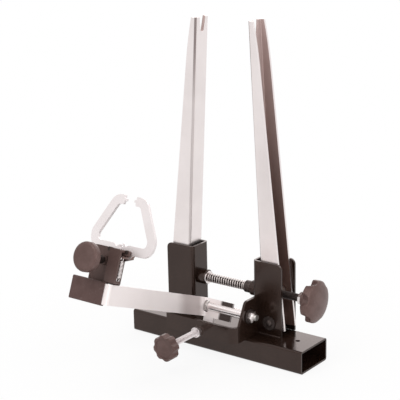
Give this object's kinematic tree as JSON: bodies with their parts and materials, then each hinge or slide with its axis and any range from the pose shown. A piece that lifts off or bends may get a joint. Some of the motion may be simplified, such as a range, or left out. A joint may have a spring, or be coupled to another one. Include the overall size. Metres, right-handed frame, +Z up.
{
  "type": "bicycle wheel truing stand",
  "caption": "Bench truing stand for bicycle wheels: chromed uprights on a screw spindle, and sprung caliper jaws on a tilting arm.",
  "frame": {"origin": "centre of the underside of the base tube", "axes": "X along the base towards the spindle knob, Y to the back, Z up"},
  "size_m": [0.2699, 0.2898, 0.426],
  "materials": {
    "black_paint": "glossy black enamel on steel",
    "chrome": "bright chrome plate on steel",
    "zinc_plate": "bright zinc plate on steel",
    "black_steel": "blackened steel, oiled",
    "black_plastic": "moulded black plastic, satin"
  },
  "bodies": {
    "stand": {"base_tube": "black_paint", "left_bracket": "black_paint", "right_bracket": "black_paint", "front_bracket": "black_paint", "left_spindle_bush": "black_paint", "right_spindle_bush": "black_paint", "spring_washer": "chrome", "spindle_spring": "chrome", "left_pivot_bolt": "black_paint", "right_pivot_bolt": "black_paint", "left_pivot_washers": "black_paint", "right_pivot_washers": "black_paint", "left_pivot_nut": "zinc_plate", "right_pivot_nut": "zinc_plate", "adjuster_bush": "chrome", "arm_pivot_bolt": "zinc_plate", "arm_pivot_washer": "black_paint", "arm_pivot_locknut": "chrome"},
    "left_leg": {"left_upright": "chrome", "left_pivot_sleeve": "chrome"},
    "right_leg": {"right_upright": "chrome", "right_pivot_sleeve": "chrome"},
    "left_nut": {"left_trunnion": "zinc_plate"},
    "right_nut": {"right_trunnion": "zinc_plate"},
    "spindle_set": {"spindle": "black_steel", "spring_collar": "black_steel", "spindle_jam_nut": "chrome", "spindle_knob": "black_plastic"},
    "arm": {"caliper_arm": "chrome", "arm_pivot_tube": "chrome", "arm_end_cap": "black_plastic", "caliper_body": "black_paint", "left_jaw_pin": "zinc_plate", "right_jaw_pin": "zinc_plate", "jaw_spring": "chrome"},
    "pusher": {"adjuster_foot": "zinc_plate"},
    "adjuster": {"adjuster_screw": "chrome", "adjuster_knob": "black_plastic"},
    "left_finger": {"left_jaw": "chrome"},
    "right_finger": {"right_jaw": "chrome"},
    "wedge": {"spreader_cone": "zinc_plate"},
    "spreader": {"spreader_screw": "black_steel", "caliper_knob": "black_plastic"}
  },
  "joints": [
    {"name": "right_upright_swing", "type": "hinge", "parent": "stand", "child": "right_leg", "pos_m": [0.07, 0.013, 0.0465], "axis": [0, 1, 0], "range_deg": [-0.5, 5.2]},
    {"name": "left_upright_swing", "type": "hinge", "parent": "stand", "child": "left_leg", "pos_m": [-0.0748, 0.013, 0.0465], "axis": [0, 1, 0], "range_deg": [-5.21, 0.51]},
    {"name": "right_trunnion_tilt", "type": "hinge", "parent": "right_leg", "child": "right_nut", "pos_m": [0.07, 0.013, 0.082], "axis": [0, 1, 0], "range_deg": [-5.21, 0.51]},
    {"name": "left_trunnion_tilt", "type": "hinge", "parent": "left_leg", "child": "left_nut", "pos_m": [-0.07437, 0.013, 0.082], "axis": [0, 1, 0], "range_deg": [-0.51, 5.21]},
    {"name": "spindle_spin", "type": "hinge", "parent": "stand", "child": "spindle_set", "pos_m": [0, 0.013, 0.082], "axis": [1, 0, 0], "range_deg": [-780, 80]},
    {"name": "caliper_arm_swing", "type": "hinge", "parent": "stand", "child": "arm", "pos_m": [-0.0024, -0.0251, 0.0591], "axis": [1, 0, 0], "range_deg": [-5, 9]},
    {"name": "adjuster_travel", "type": "slide", "parent": "stand", "child": "pusher", "axis": [0, 1, 0], "range_m": [-0.0026, 0.0045]},
    {"name": "adjuster_spin", "type": "hinge", "parent": "pusher", "child": "adjuster", "pos_m": [-0.0049, -0.06, 0.0356], "axis": [0, 1, 0], "range_deg": [-700, 1260]},
    {"name": "left_jaw_swing", "type": "hinge", "parent": "arm", "child": "left_finger", "pos_m": [-0.0154, -0.19944, 0.18307], "axis": [0, -0.9278, 0.373], "range_deg": [-5, 5]},
    {"name": "right_jaw_swing", "type": "hinge", "parent": "arm", "child": "right_finger", "pos_m": [0.0106, -0.19944, 0.18307], "axis": [0, 0.9278, -0.373], "range_deg": [-5.01, 5.01]},
    {"name": "spreader_travel", "type": "slide", "parent": "arm", "child": "wedge", "axis": [0, 0.9278, -0.373], "range_m": [-0.00335, 0.00335]},
    {"name": "spreader_spin", "type": "hinge", "parent": "wedge", "child": "spreader", "pos_m": [-0.0187, -0.225, 0.17847], "axis": [0, 0.9278, -0.373], "range_deg": [-800, 800]}
  ],
  "couplings": [
    {"joint": "left_upright_swing", "follows": "right_upright_swing", "ratio": -1},
    {"joint": "right_trunnion_tilt", "follows": "right_upright_swing", "ratio": -1},
    {"joint": "left_trunnion_tilt", "follows": "right_upright_swing", "ratio": 1},
    {"joint": "spindle_spin", "follows": "right_upright_swing", "ratio": -148.7},
    {"joint": "adjuster_travel", "follows": "caliper_arm_swing", "m_per_rad": 0.0275},
    {"joint": "adjuster_spin", "follows": "caliper_arm_swing", "ratio": 138.23},
    {"joint": "right_jaw_swing", "follows": "left_jaw_swing", "ratio": 1},
    {"joint": "spreader_travel", "follows": "left_jaw_swing", "m_per_rad": 0.0379},
    {"joint": "spreader_spin", "follows": "left_jaw_swing", "ratio": 158.8}
  ]
}
